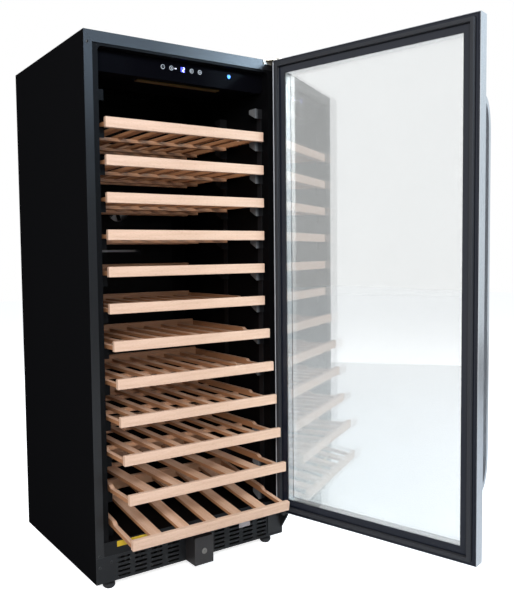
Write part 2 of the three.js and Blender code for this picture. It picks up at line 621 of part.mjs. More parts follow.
function doorAssembly() {
  const wrap = join(
    doorRing(0, WINDOW_INSET, DOOR_OUTER, DOOR_OUTER + SHEET),
    doorRing(0, SHEET, DOOR_OUTER, DOOR_INNER - 2),
  );
  const pinHoles = rod("z", [PIVOT_X, PIVOT_Y], 7, DOOR_BOTTOM - 5, DOOR_TOP + 5, 24);
  const strike = box([LOCK_X - 13, LOCK_X + 13], [BOLT_Y - 6, BOLT_Y + 6], [DOOR_BOTTOM - 1, DOOR_BOTTOM + 16]);
  addToDoor("door_frame", cut(wrap, pinHoles, strike), "stainless");

  const edge = SHEET + GAP;
  const body = doorRing(edge, RABBET_INSET - GAP, DOOR_INNER - 32, DOOR_INNER);
  const bead = doorRing(edge + 1, WINDOW_INSET, GLASS_INNER + GAP, DOOR_INNER);
  const bores = [
    rod("z", [PIVOT_X, PIVOT_Y], BUSH_RADIUS + GAP, DOOR_BOTTOM, DOOR_BOTTOM + 30, 24),
    rod("z", [PIVOT_X, PIVOT_Y], BUSH_RADIUS + GAP, DOOR_TOP - 30, DOOR_TOP, 24),
  ];
  addToDoor("door_inner_frame", cut(join(body, bead), windowFunnel(), strike, ...bores), "blackPlastic");

  const seal = doorRing(GASKET_INSET, GASKET_INSET + GASKET_WIDTH, DOOR_INNER + GAP, FRONT - 0.5);
  addToDoor("door_gasket", seal, "rubber");

  const pane = (y) =>
    box(
      [DOOR_LEFT + RABBET_INSET, DOOR_RIGHT - RABBET_INSET],
      [y, y + GLASS],
      [DOOR_BOTTOM + RABBET_INSET, DOOR_TOP - RABBET_INSET],
    );
  addToDoor("outer_glass", pane(GLASS_OUTER), "glass");
  addToDoor("inner_glass", pane(GLASS_INNER - GLASS), "glass");
  const spacerY = [GLASS_OUTER + GLASS + GAP, GLASS_INNER - GLASS - GAP];
  addToDoor("glass_spacer", doorRing(WINDOW_INSET - 10, WINDOW_INSET + 2, ...spacerY), "aluminium");

  const bush = (name, from, to) => {
    const sleeve = rod("z", [PIVOT_X, PIVOT_Y], BUSH_RADIUS, from, to, 24);
    const bore = rod("z", [PIVOT_X, PIVOT_Y], PIN_RADIUS + 0.5, from - 1, to + 1, 24);
    addToDoor(name, cut(sleeve, bore), "greyPlastic");
  };
  bush("top_hinge_bush", DOOR_TOP - 28, DOOR_TOP - edge);
  bush("bottom_hinge_bush", DOOR_BOTTOM + edge, DOOR_BOTTOM + 28);
}

// A four-sided funnel that bevels the bead from the door's face down to the glass.
function windowFunnel() {
  const [from, to] = [GLASS_INNER + 1, DOOR_INNER + GAP];
  const wide = WINDOW_INSET - 14;
  const corners = (inset, y) => [
    [DOOR_LEFT + inset, y, DOOR_BOTTOM + inset],
    [DOOR_RIGHT - inset, y, DOOR_BOTTOM + inset],
    [DOOR_RIGHT - inset, y, DOOR_TOP - inset],
    [DOOR_LEFT + inset, y, DOOR_TOP - inset],
  ];
  const points = [...corners(WINDOW_INSET, from), ...corners(wide, to)];
  const faces = [0, 1, 2, 0, 2, 3, 4, 6, 5, 4, 7, 6];
  for (let i = 0; i < 4; i++) {
    const next = (i + 1) % 4;
    faces.push(i, i + 4, next, next, i + 4, next + 4);
  }
  const funnel = new THREE.BufferGeometry();
  funnel.setAttribute("position", new THREE.Float32BufferAttribute(points.flat(), 3));
  funnel.setIndex(faces);
  return funnel;
}

function handle() {
  const face = DOOR_OUTER - GAP;
  const bow = (reach, bend, low, high) => {
    const line = new THREE.Path();
    line.absellipse(face, low, reach, bend, -Math.PI / 2, -Math.PI, true);
    line.absellipse(face, high, reach, bend, Math.PI, Math.PI / 2, true);
    return line.getPoints(7);
  };
  const [low, high] = [HANDLE_BOTTOM + HANDLE_BEND, HANDLE_TOP - HANDLE_BEND];
  const outer = bow(HANDLE_REACH, HANDLE_BEND, low, high);
  const inner = bow(HANDLE_REACH - HANDLE_BAR, HANDLE_BEND - 18, low, high).reverse();
  const shape = new THREE.Shape([...outer, ...inner]);
  const left = DOOR_LEFT + 2;
  addToDoor("door_handle", prism(shape, "x", left, left + HANDLE_WIDTH), "stainless");
}

outerPanels();
lowerPanels();
base();
linerAndInsulation();
shelfRacks();
shelves();
controls();
coldAir();
condensingUnit();
hinges();
lock();
doorAssembly();
handle();

export default cooler;
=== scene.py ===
"""The looks of a full-height wine cooler with a glass door and twelve beech shelves.

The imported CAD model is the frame: every piece here is in metres, in the CAD's own frame, and takes its
place from the CAD node that it covers. The front faces -Y, +Z is up.
"""

import json
import math

import bmesh
import bpy
from mathutils import Matrix, Vector


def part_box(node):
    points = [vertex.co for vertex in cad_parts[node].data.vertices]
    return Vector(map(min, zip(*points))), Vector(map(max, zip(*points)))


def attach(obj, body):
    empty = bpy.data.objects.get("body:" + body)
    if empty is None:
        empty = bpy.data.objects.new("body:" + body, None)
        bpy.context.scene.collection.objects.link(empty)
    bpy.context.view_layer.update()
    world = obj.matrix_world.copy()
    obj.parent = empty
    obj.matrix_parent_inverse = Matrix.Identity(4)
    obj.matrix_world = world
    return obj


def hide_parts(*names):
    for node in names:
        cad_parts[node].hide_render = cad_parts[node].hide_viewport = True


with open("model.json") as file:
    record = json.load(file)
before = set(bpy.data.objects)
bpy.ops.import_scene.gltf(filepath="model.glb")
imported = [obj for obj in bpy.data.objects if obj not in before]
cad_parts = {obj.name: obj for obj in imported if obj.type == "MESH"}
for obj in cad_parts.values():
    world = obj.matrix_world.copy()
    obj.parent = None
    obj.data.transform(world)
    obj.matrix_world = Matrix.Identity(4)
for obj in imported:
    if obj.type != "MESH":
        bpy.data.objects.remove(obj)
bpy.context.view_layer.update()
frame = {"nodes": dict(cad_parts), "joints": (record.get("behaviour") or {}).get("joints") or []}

MM = 0.001
X, Y = Vector((1, 0, 0)), Vector((0, 1, 0))
JOINTS = {joint["name"]: joint for joint in frame["joints"]}

# The door stands open by this much; its pieces are drawn shut and turned about the hinge.
DOOR_OPEN = math.radians(105)
HINGE = Vector(JOINTS["door_hinge"]["pos_m"])
DOOR_TURN = Matrix.Translation(HINGE) @ Matrix.Rotation(DOOR_OPEN, 4, "Z") @ Matrix.Translation(-HINGE)


# ---------------------------------------------------------------- camera, lights and floor

CAMERA_PLACE = Vector((-1.157, -2.2169, 0.9747))
CAMERA_YAW, CAMERA_PITCH, CAMERA_ROLL = (math.radians(a) for a in (33.441, 3.438, -0.763))
CAMERA_LENS = 42.36
CAMERA_SHIFT = (0.0608, -0.0047)


def make_camera():
    forward = Vector(
        (
            math.sin(CAMERA_YAW) * math.cos(CAMERA_PITCH),
            math.cos(CAMERA_YAW) * math.cos(CAMERA_PITCH),
            -math.sin(CAMERA_PITCH),
        )
    )
    level = Vector((math.cos(CAMERA_YAW), -math.sin(CAMERA_YAW), 0))
    upright = level.cross(forward)
    right = math.cos(CAMERA_ROLL) * level + math.sin(CAMERA_ROLL) * upright
    up = right.cross(forward)
    data = bpy.data.cameras.new("camera")
    data.sensor_width = 36
    data.lens = CAMERA_LENS
    data.shift_x, data.shift_y = CAMERA_SHIFT
    data.clip_end = 60
    camera = bpy.data.objects.new("camera", data)
    turn = Matrix((right, up, -forward)).transposed().to_4x4()
    camera.matrix_world = Matrix.Translation(CAMERA_PLACE) @ turn
    bpy.context.scene.collection.objects.link(camera)
    bpy.context.scene.camera = camera


def softbox(name, place, target, size, brightness, colour=(1, 1, 1)):
    """A rectangular lamp that faces its target, as bright as a surface of that radiance."""
    data = bpy.data.lights.new(name, "AREA")
    data.shape = "RECTANGLE"
    data.size, data.size_y = size
    data.energy = brightness * math.pi * size[0] * size[1]
    data.color = colour
    lamp = bpy.data.objects.new(name, data)
    lamp.location = place
    lamp.rotation_euler = (Vector(target) - Vector(place)).to_track_quat("-Z", "Y").to_euler()
    bpy.context.scene.collection.objects.link(lamp)


def make_studio():
    scene = bpy.context.scene
    scene.view_settings.view_transform = "Standard"
    scene.view_settings.look = "None"
    world = bpy.data.worlds.new("studio")
    scene.world = world
    world.use_nodes = True
    tree = world.node_tree
    background = tree.nodes["Background"]
    backdrop = tree.nodes.new("ShaderNodeBackground")
    backdrop.inputs["Color"].default_value = (1, 1, 1, 1)
    backdrop.inputs["Strength"].default_value = 1.0
    background.inputs["Color"].default_value = (0.86, 0.93, 1, 1)
    background.inputs["Strength"].default_value = 0.3
    path = tree.nodes.new("ShaderNodeLightPath")
    seen = tree.nodes.new("ShaderNodeMath")
    seen.operation = "MAXIMUM"
    tree.links.new(path.outputs["Is Camera Ray"], seen.inputs[0])
    tree.links.new(path.outputs["Is Transmission Ray"], seen.inputs[1])
    mix = tree.nodes.new("ShaderNodeMixShader")
    tree.links.new(seen.outputs[0], mix.inputs[0])
    tree.links.new(background.outputs[0], mix.inputs[1])
    tree.links.new(backdrop.outputs[0], mix.inputs[2])
    tree.links.new(mix.outputs[0], tree.nodes["World Output"].inputs[0])

    softbox("key_light", (-2.6, -4.4, 2.9), (0, -0.3, 0.8), (2.4, 2.4), 17)
    softbox("left_panel", (-3.6, 0.1, 1.5), (0.4, -0.7, 0.9), (3.4, 3.2), 1.2)
    softbox("blue_panel", (2.18, -2.76, 2.44), (0.3, -0.3, 1.63), (0.8, 0.8), 30, (0.6, 0.8, 1))
    softbox("stile_panel", (0.89, -3.12, 2.55), (-0.33, -0.3, 1.5), (0.6, 0.6), 10, (0.55, 0.75, 1))
    softbox("right_panel", (3.4, -1.6, 1.6), (0.5, -0.9, 1.0), (1.6, 2.6), 0.75, (0.85, 0.95, 1))
    softbox("rear_panel", (0.6, 4.2, 2.6), (0, 0.3, 0.9), (3, 2), 2.5)

    size = 14
    floor_mesh = bpy.data.meshes.new("floor")
    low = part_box("front_left_foot")[0].z
    corners = [(-size, -size, low), (size, -size, low), (size, size, low), (-size, size, low)]
    floor_mesh.from_pydata(corners, [], [(0, 1, 2, 3)])
    floor = bpy.data.objects.new("floor", floor_mesh)
    bpy.context.scene.collection.objects.link(floor)
    floor_mesh.materials.append(floor_paint())


# ---------------------------------------------------------------- materials


class Paint:
    """A procedural material: one Principled shader and the nodes that feed it."""

    def __init__(self, name, **settings):
        self.material = bpy.data.materials.new(name)
        self.material.use_nodes = True
        self.tree = self.material.node_tree
        self.shader = self.tree.nodes["Principled BSDF"]
        self.height = None
        for socket, value in settings.items():
            title = socket.replace("_", " ").title().replace("Ior", "IOR")
            self.shader.inputs[title].default_value = (*value, 1) if isinstance(value, tuple) else value

    def node(self, kind, **values):
        made = self.tree.nodes.new("ShaderNode" + kind)
        for name, value in values.items():
            setattr(made, name, value)
        return made

    def feed(self, value, socket):
        """Links an output to a socket, or sets the socket to a plain value."""
        if isinstance(value, bpy.types.NodeSocket):
            self.tree.links.new(value, socket)
        else:
            socket.default_value = value

    def place(self, stretch=(1, 1, 1)):
        """The point on the piece in its own frame, in metres, scaled along each axis."""
        where = self.node("TexCoord")
        mapping = self.node("Mapping", vector_type="POINT")
        mapping.inputs["Scale"].default_value = stretch
        self.tree.links.new(where.outputs["Object"], mapping.inputs["Vector"])
        return mapping.outputs["Vector"]

    def noise(self, scale, stretch=(1, 1, 1), detail=2.0, roughness=0.5, distortion=0.0):
        made = self.node("TexNoise")
        self.tree.links.new(self.place(stretch), made.inputs["Vector"])
        made.inputs["Scale"].default_value = scale
        made.inputs["Detail"].default_value = detail
        made.inputs["Roughness"].default_value = roughness
        made.inputs["Distortion"].default_value = distortion
        return made.outputs["Fac"]

    def island(self):
        """A random number for each separate slat, block or screw of a piece."""
        return self.node("NewGeometry").outputs["Random Per Island"]

    def spread(self, value, low, high, start=0.0, end=1.0):
        made = self.node("MapRange")
        self.feed(value, made.inputs["Value"])
        made.inputs["From Min"].default_value = start
        made.inputs["From Max"].default_value = end
        made.inputs["To Min"].default_value = low
        made.inputs["To Max"].default_value = high
        return made.outputs["Result"]

    def sum(self, a, b, operation="ADD"):
        made = self.node("Math", operation=operation)
        self.feed(a, made.inputs[0])
        self.feed(b, made.inputs[1])
        return made.outputs[0]

    def edge(self, radius):
        """0 on a flat, rising towards 1 along an edge, for the wear on corners."""
        round_normal = self.node("Bevel", samples=4)
        round_normal.inputs["Radius"].default_value = radius
        dot = self.node("VectorMath", operation="DOT_PRODUCT")
        self.tree.links.new(round_normal.outputs[0], dot.inputs[0])
        self.tree.links.new(self.node("NewGeometry").outputs["Normal"], dot.inputs[1])
        return self.spread(dot.outputs["Value"], 1, 0, 0.78, 0.995)

    def blend(self, share, first, second):
        """Mixes two colours, plain or linked, by a share."""
        made = self.node("Mix", data_type="RGBA")
        self.feed(share, made.inputs["Factor"])
        self.feed((*first, 1) if isinstance(first, tuple) else first, made.inputs["A"])
        self.feed((*second, 1) if isinstance(second, tuple) else second, made.inputs["B"])
        return made.outputs["Result"]

    def colour(self, value):
        self.feed(value, self.shader.inputs["Base Color"])
        return self

    def roughness(self, value):
        self.feed(value, self.shader.inputs["Roughness"])
        return self

    def bump(self, height, depth, strength=1.0):
        """Raises the surface by height times depth, on top of any bump before it."""
        made = self.node("Bump")
        made.inputs["Strength"].default_value = strength
        made.inputs["Distance"].default_value = depth
        self.feed(height, made.inputs["Height"])
        if self.height is not None:
            self.tree.links.new(self.height, made.inputs["Normal"])
        self.height = made.outputs[0]
        self.feed(self.height, self.shader.inputs["Normal"])
        return self


def floor_paint():
    """A white floor that runs into the backdrop, and is darker as a mirror image."""
    paint = Paint("floor_pale", roughness=0.9, specular_ior_level=0.1, emission_color=(1.0, 1.0, 1.0))
    path = paint.node("LightPath")
    seen = paint.sum(path.outputs["Is Camera Ray"], path.outputs["Is Transmission Ray"], "MAXIMUM")
    mirrored = paint.sum(path.outputs["Is Glossy Ray"], 0.6, "MULTIPLY")
    pale = paint.blend(paint.noise(3), (0.93, 0.93, 0.93), (0.96, 0.96, 0.96))
    paint.colour(paint.blend(paint.sum(seen, mirrored, "MAXIMUM"), (0.42, 0.42, 0.43), pale))
    glow = paint.sum(paint.sum(seen, 0.72, "MULTIPLY"), paint.sum(mirrored, 0.05, "MULTIPLY"))
    paint.feed(glow, paint.shader.inputs["Emission Strength"])
    return paint.material


def coated_steel(name, colour, worn, gloss, specular=0.5):
    """Powder-coated steel: a faint orange peel, uneven gloss and edges rubbed a little lighter."""
    paint = Paint(name, specular_ior_level=specular)
    wear = paint.sum(paint.edge(0.0015), paint.spread(paint.noise(40, detail=4), 0.3, 1.0), "MULTIPLY")
    paint.colour(paint.blend(wear, colour, worn))
    paint.roughness(paint.spread(paint.noise(6, detail=4), gloss - 0.04, gloss + 0.05))
    return paint.bump(paint.noise(900, detail=1), 0.00004).material


def side_sheet(name, colour, worn):
    """The cabinet's sheet: flat black on its sides, glossier on the returns that face forwards."""
    paint = Paint(name)
    wear = paint.sum(paint.edge(0.0015), paint.spread(paint.noise(40, detail=4), 0.3, 1.0), "MULTIPLY")
    paint.colour(paint.blend(wear, colour, worn))
    split = paint.node("SeparateXYZ")
    paint.tree.links.new(paint.node("TexCoord").outputs["Normal"], split.inputs[0])
    facing = paint.sum(split.outputs["Y"], split.outputs["Y"], "MULTIPLY")
    paint.feed(paint.spread(facing, 0.0, 0.42), paint.shader.inputs["Specular IOR Level"])
    paint.roughness(paint.spread(paint.noise(6, detail=4), 0.26, 0.34))
    return paint.bump(paint.noise(900, detail=1), 0.00004).material


def rack_with_painted_light(name):
    """Moulded black racks with painted light: grey painted on the front blocks' inner faces as if lit,
    fading to black painted shade near the wall and towards the rear.
    """
    paint = Paint(name, specular_ior_level=0.3)
    split = paint.node("SeparateXYZ")
    paint.tree.links.new(paint.place(), split.inputs[0])
    # painted light and shade: grey where the blocks face into the cabinet near the front, black painted
    # shade towards the wall and the rear; only the noise tone is random
    lit_away_from_wall = paint.spread(split.outputs["X"], 1, 0, 0.277, 0.29)
    tone = paint.noise(90, (1, 1, 3), detail=3)
    lit_near_front = paint.spread(split.outputs["Y"], 1, 0, -0.22, -0.18)
    share = paint.sum(paint.sum(lit_away_from_wall, lit_near_front, "MULTIPLY"), paint.spread(tone, 0.5, 1.0), "MULTIPLY")
    paint.colour(paint.blend(share, (0.006, 0.006, 0.007), (0.16, 0.165, 0.17)))
    paint.roughness(paint.spread(tone, 0.45, 0.6))
    return paint.bump(tone, 0.00008).material


def moulded(name, colour, gloss, grain=0.00003, specular=0.5):
    """Moulded plastic with a fine even texture."""
    paint = Paint(name, specular_ior_level=specular)
    tone = paint.noise(12, detail=3)
    darker = tuple(c * 0.82 for c in colour)
    paint.colour(paint.blend(tone, darker, colour))
    paint.roughness(paint.spread(paint.noise(25, detail=3), gloss - 0.05, gloss + 0.05))
    return paint.bump(paint.noise(1400, detail=1), grain).material


def brushed(name, colour, along):
    """Brushed stainless steel, with its fine lines along one axis of the piece."""
    fine = [1.0 if axis == along else 60.0 for axis in range(3)]
    paint = Paint(name, metallic=1.0)
    lines = paint.noise(22, tuple(fine), detail=3, roughness=0.6)
    cloud = paint.noise(5, detail=3)
    dull = tuple(c * 0.86 for c in colour)
    paint.colour(paint.blend(paint.sum(lines, cloud, "MULTIPLY"), dull, colour))
    paint.roughness(paint.spread(lines, 0.21, 0.34))
    return paint.bump(lines, 0.00002, 0.6).material


def metal(name, colour, gloss):
    """Bare or plated metal with a cloudy sheen."""
    paint = Paint(name, metallic=1.0)
    cloud = paint.noise(30, detail=4, roughness=0.6)
    dull = tuple(c * 0.75 for c in colour)
    paint.colour(paint.blend(cloud, dull, colour))
    paint.roughness(paint.spread(cloud, gloss + 0.08, gloss - 0.05))
    return paint.bump(paint.noise(700, detail=2), 0.00002).material


def rubber(name, colour=(0.012, 0.012, 0.013)):
    """Dull black rubber, slightly cloudy."""
    paint = Paint(name, specular_ior_level=0.35)
    cloud = paint.noise(60, detail=3)
    paint.colour(paint.blend(cloud, colour, tuple(c * 1.6 for c in colour)))
    paint.roughness(paint.spread(cloud, 0.55, 0.75))
    return paint.bump(paint.noise(1100, detail=2), 0.00004).material


def beech(name, along, light, dark, unshaded_sides=1.0):
    """Clear-coated beech: long soft grain, short dark flecks and a tone for each separate slat, with painted
    shade: the sides and undersides blend towards a darker brown, none of it when the last argument is 1.
    """
    grain_stretch = tuple(1.0 if axis == along else 16.0 for axis in range(3))
    fleck_stretch = tuple(1.0 if axis == along else 7.0 for axis in range(3))
    paint = Paint(name, specular_ior_level=0.3)
    grain = paint.noise(4.5, grain_stretch, detail=5, roughness=0.62, distortion=0.25)
    flecks = paint.spread(paint.noise(95, fleck_stretch, detail=2, roughness=0.6), 0, 1, 0.56, 0.72)
    wood = paint.blend(paint.spread(grain, 0, 1, 0.32, 0.72), dark, light)
    tone = paint.spread(paint.island(), 0.86, 1.06)
    toned = paint.node("VectorMath", operation="SCALE")
    paint.feed(wood, toned.inputs[0])
    paint.feed(tone, toned.inputs["Scale"])
    brown = tuple(c * f for c, f in zip(dark, (0.62, 0.52, 0.44)))
    flecked = paint.blend(paint.sum(flecks, 0.5, "MULTIPLY"), toned.outputs[0], brown)
    split = paint.node("SeparateXYZ")
    paint.tree.links.new(paint.node("TexCoord").outputs["Normal"], split.inputs[0])
    # painted shade: faces that do not face upwards are darkened towards a brown, as if out of the light
    below = paint.spread(split.outputs["Z"], 1 - unshaded_sides, 0, 0.1, 0.6)
    painted_shade_brown = tuple(c * f for c, f in zip(dark, (0.62, 0.46, 0.3)))
    paint.colour(paint.blend(below, flecked, painted_shade_brown))
    paint.roughness(paint.spread(grain, 0.55, 0.42))
    paint.bump(grain, 0.00012, 0.5)
    return paint.bump(flecks, -0.00005, 0.5).material


def pane_glass(name, colour, index):
    """Coated glass: it mirrors strongly, and lamps reach what is behind it."""
    paint = Paint(name, base_color=colour, transmission_weight=1.0, ior=index)
    paint.roughness(paint.spread(paint.noise(9, detail=2), 0.0, 0.012))
    clear = paint.node("BsdfTransparent")
    clear.inputs["Color"].default_value = (0.9, 0.93, 0.92, 1)
    path = paint.node("LightPath")
    mix = paint.node("MixShader")
    paint.tree.links.new(path.outputs["Is Shadow Ray"], mix.inputs[0])
    paint.tree.links.new(paint.shader.outputs[0], mix.inputs[1])
    paint.tree.links.new(clear.outputs[0], mix.inputs[2])
    paint.tree.links.new(mix.outputs[0], paint.tree.nodes["Material Output"].inputs["Surface"])
    return paint.material


def glowing(name, colour, strength):
    """A lit surface, a little uneven in brightness."""
    paint = Paint(name, base_color=colour, roughness=0.3, emission_strength=strength)
    core = paint.spread(paint.noise(400, detail=1), 0.85, 1.0)
    tint = paint.node("VectorMath", operation="SCALE")
    tint.inputs[0].default_value = colour
    paint.feed(core, tint.inputs["Scale"])
    paint.feed(tint.outputs[0], paint.shader.inputs["Emission Color"])
    return paint.material


def foam(name):
    """Yellow rigid foam with open cells."""
    paint = Paint(name, roughness=0.9)
    cells = paint.noise(350, detail=3)
    paint.colour(paint.blend(cells, (0.62, 0.5, 0.22), (0.84, 0.74, 0.42)))
    return paint.bump(cells, 0.0006).material


def printed_board(name):
    """A green board with raised tracks."""
    paint = Paint(name, roughness=0.4)
    tracks = paint.spread(paint.noise(160, (1, 1, 4), detail=1), 0, 1, 0.48, 0.52)
    paint.colour(paint.blend(tracks, (0.01, 0.07, 0.03), (0.02, 0.16, 0.06)))
    return paint.bump(tracks, 0.0001).material


BLACK = (0.0045, 0.0045, 0.005)
LOOKS = {
    "cabinet": side_sheet("cabinet_black", BLACK, (0.02, 0.02, 0.022)),
    "face": coated_steel("face_black", BLACK, (0.02, 0.02, 0.022), 0.4, 0.2),
    "grille": coated_steel("grille_black", (0.006, 0.0065, 0.0075), (0.035, 0.035, 0.04), 0.42, 0.3),
    "hinge": coated_steel("hinge_black", (0.006, 0.006, 0.0065), (0.08, 0.08, 0.08), 0.38),
    "lock": coated_steel("lock_black", (0.014, 0.012, 0.012), (0.09, 0.085, 0.08), 0.4),
    "compressor": coated_steel("compressor_black", (0.01, 0.01, 0.01), (0.05, 0.05, 0.05), 0.35),
    "liner": moulded("liner_black", (0.0022, 0.0022, 0.0026), 0.42, specular=0.08),
    "duct": moulded("duct_black", (0.003, 0.0032, 0.004), 0.5, specular=0.12),
    "rack": rack_with_painted_light("rack_painted_light"),
    "gloss": moulded("control_gloss", (0.002, 0.002, 0.003), 0.12, 0.000004, specular=0.003),
    "door_black": moulded("door_black", (0.007, 0.009, 0.016), 0.24, 0.00001, specular=0.3),
    "button": moulded("button_silver", (0.42, 0.44, 0.47), 0.32, 0.00001),
    "bush": moulded("bush_grey", (0.3, 0.3, 0.31), 0.45),
    "diffuser": moulded("diffuser_amber", (0.05, 0.028, 0.006), 0.35, specular=0.2),
    "fan": moulded("fan_black", (0.02, 0.02, 0.022), 0.45),
    "gasket": rubber("gasket_black", (0.014, 0.015, 0.018)),
    "foot": rubber("foot_black"),
    "gland": rubber("gland_black"),
    # The last number of a beech look is how much of the painted shade on its sides and undersides is left
    # off: 1 leaves it all off.
    "bar": beech("beech_across", 0, (0.655, 0.45, 0.335), (0.55, 0.36, 0.255)),
    "crossbar": beech("beech_inside", 0, (0.66, 0.42, 0.29), (0.52, 0.3, 0.18), 0.5),
    "slat": beech("beech_lengthwise", 1, (0.68, 0.44, 0.31), (0.54, 0.31, 0.19), 0.15),
    "steel_upright": brushed("stainless_upright", (0.66, 0.67, 0.69), 2),
    "zinc": metal("zinc_plate", (0.62, 0.58, 0.5), 0.38),
    "base": metal("base_zinc", (0.09, 0.088, 0.085), 0.55),
    "chrome": metal("lock_chrome", (0.3, 0.29, 0.27), 0.3),
    "aluminium": metal("aluminium_mill", (0.76, 0.77, 0.78), 0.34),
    "board": printed_board("circuit_board"),
    "foam": foam("insulation_foam"),
    "glass": pane_glass("door_glass", (0.745, 0.755, 0.755), 2.1),
    "blue": glowing("indicator_blue", (0.01, 0.22, 1.0), 1.6),
    "digits": glowing("digits_blue", (0.3, 0.34, 1.0), 6.0),
    "glow": glowing("digit_glow", (0.02, 0.02, 0.9), 0.5),
    "dash": glowing("dash_white", (0.8, 0.8, 1.0), 1.4),
    "mark": moulded("mark_white", (0.75, 0.75, 0.78), 0.4),
    "label": moulded("label_yellow", (0.5, 0.32, 0.005), 0.45),
    "plate": moulded("plate_pale", (0.42, 0.37, 0.37), 0.4),
}


# ---------------------------------------------------------------- mesh building


class Shape:
    """Collects closed solids into one mesh, each with rounded edges and its own look."""

    def __init__(self):
        self.bm = bmesh.new()
        self.looks = []

    def _finish(self, bm, look, rounding, segments):
        if rounding:
            bmesh.ops.bevel(
                bm,
                geom=[e for e in bm.edges if e.calc_face_angle(0) > math.radians(25)],
                offset=rounding,
                segments=segments,
                profile=0.5,
                affect="EDGES",
                clamp_overlap=True,
            )
        bmesh.ops.recalc_face_normals(bm, faces=bm.faces)
        if look not in self.looks:
            self.looks.append(look)
        index = self.looks.index(look)
        for face in bm.faces:
            face.material_index = index
            face.smooth = True
        held = bpy.data.meshes.new("held")
        bm.to_mesh(held)
        bm.free()
        self.bm.from_mesh(held)
        bpy.data.meshes.remove(held)

    def box(self, low, high, look, rounding=0.001, segments=2):
        bm = bmesh.new()
        low, high = Vector(low), Vector(high)
        bmesh.ops.create_cube(bm, size=1)
        bmesh.ops.scale(bm, vec=high - low, verts=bm.verts)
        bmesh.ops.translate(bm, vec=(low + high) / 2, verts=bm.verts)
        self._finish(bm, look, rounding, segments)
        return self

    def prism(self, outline, axis, start, end, look, rounding=0.0, segments=2):
        """A closed outline pushed along an axis. It lies in the other two axes, in X, Y, Z order."""
        bm = bmesh.new()
        flat = [a for a in range(3) if a != axis]
        bottom, top = [], []
        for point in outline:
            for row, height in ((bottom, start), (top, end)):
                place = [0, 0, 0]
                place[flat[0]], place[flat[1]], place[axis] = point[0], point[1], height
                row.append(bm.verts.new(place))
        count = len(outline)
        bm.faces.new(bottom)
        bm.faces.new(list(reversed(top)))
        for i in range(count):
            bm.faces.new((bottom[i], bottom[(i + 1) % count], top[(i + 1) % count], top[i]))
        self._finish(bm, look, rounding, segments)
        return self

    def turned(self, profile, centre, axis, look, sides=40):
        """A profile of (radius, height) turned about an axis through the centre."""
        bm = bmesh.new()
        others = [a for a in range(3) if a != axis]
        rings = []
        for radius, height in profile:
            ring = []
            for i in range(sides if radius > 1e-6 else 1):
                angle = 2 * math.pi * i / sides
                place = list(centre)
                place[others[0]] += radius * math.cos(angle)
                place[others[1]] += radius * math.sin(angle)
                place[axis] += height
                ring.append(bm.verts.new(place))
            rings.append(ring)
        for below, above in zip(rings, rings[1:]):
            for i in range(sides):
                a, b = below[i % len(below)], below[(i + 1) % len(below)]
                c, d = above[(i + 1) % len(above)], above[i % len(above)]
                corners = list(dict.fromkeys((a, b, c, d)))
                if len(corners) > 2:
                    bm.faces.new(corners)
        self._finish(bm, look, 0, 1)
        return self

    def frame_sweep(self, profile, sides, look):
        """A closed (inset, depth) profile carried round a rectangle with mitred corners.

        sides is (left, right, bottom, top); an inset runs inwards from it and the depth is a Y."""
        left, right, bottom, top = sides
        bm = bmesh.new()
        rings = [
            [
                bm.verts.new(place)
                for place in (
                    (left + inset, depth, bottom + inset),
                    (right - inset, depth, bottom + inset),
                    (right - inset, depth, top - inset),
                    (left + inset, depth, top - inset),
                )
            ]
            for inset, depth in profile
        ]
        for first, second in zip(rings, rings[1:] + rings[:1]):
            for i in range(4):
                bm.faces.new((first[i], first[(i + 1) % 4], second[(i + 1) % 4], second[i]))
        self._finish(bm, look, 0, 1)
        return self

    def piece(self, name, body, slot, *replaced, turn=None):
        """Makes the piece, shades it, and hangs it on its CAD body."""
        mesh = bpy.data.meshes.new(name)
        self.bm.to_mesh(mesh)
        self.bm.free()
        for look in self.looks:
            mesh.materials.append(LOOKS[look])
        mesh.set_sharp_from_angle(angle=math.radians(38))
        made = bpy.data.objects.new(name, mesh)
        bpy.context.scene.collection.objects.link(made)
        if turn is not None:
            made.matrix_world = turn
        made.modifiers.new("even_shading", "WEIGHTED_NORMAL").keep_sharp = True
        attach(made, body)
        if replaced:
            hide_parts(*replaced)


def closed_box(node):
    """A door node's lowest and highest corners with the door shut."""
    back = DOOR_TURN.inverted()
    points = [back @ v.co for v in frame["nodes"][node].data.vertices]
    low = Vector([min(p[i] for p in points) for i in range(3)])
    high = Vector([max(p[i] for p in points) for i in range(3)])
    return low, high


# ---------------------------------------------------------------- shelves

BAR_HEIGHT, BAR_DEPTH = 0.031, 0.015
CROSSBAR_DROP, CROSSBAR_DEPTH = 0.004, 0.020
REAR_BAR_TOP, REAR_BAR_DEPTH = 0.033, 0.016
RAIL_FRONT_TOP, RAIL_REAR_TOP, RAIL_WIDTH = 0.017, 0.025, 0.014
SLAT_BOTTOM, SLAT_TOP = 0.007, 0.018
SHELF_DEPTH, SHORT_SHELF_DEPTH = 0.496, 0.410
BOTTOM_SHELF_TILT = math.radians(8)
SHELF_COUNT = 12
RAIL_BOTTOM = 0.0055
RAIL_STEP_START, RAIL_STEP_END = 0.130, 0.148
NARROW_SLATS, WIDE_SLATS = (7, 0.023), (5, 0.038)  # how many, and how wide
NARROW_CROSSBARS, WIDE_CROSSBARS = (0.206, 0.404), (0.388,)  # back from the front face
JOINT_LAP = 0.002  # how far slats and crossbars run into their neighbours


def rail_outline(depth):
    """A side rail from the side: low behind the front bar, then an S-curve up to its full height."""
    front = BAR_DEPTH - 0.001
    points = [(front, RAIL_BOTTOM), (depth, RAIL_BOTTOM), (depth, RAIL_REAR_TOP)]
    steps = 12
    for i in range(steps + 1):
        t = i / steps
        ease = t * t * (3 - 2 * t)
        y = RAIL_STEP_END + (RAIL_STEP_START - RAIL_STEP_END) * t
        points.append((y, RAIL_REAR_TOP + (RAIL_FRONT_TOP - RAIL_REAR_TOP) * ease))
    points.append((front, RAIL_FRONT_TOP))
    return points


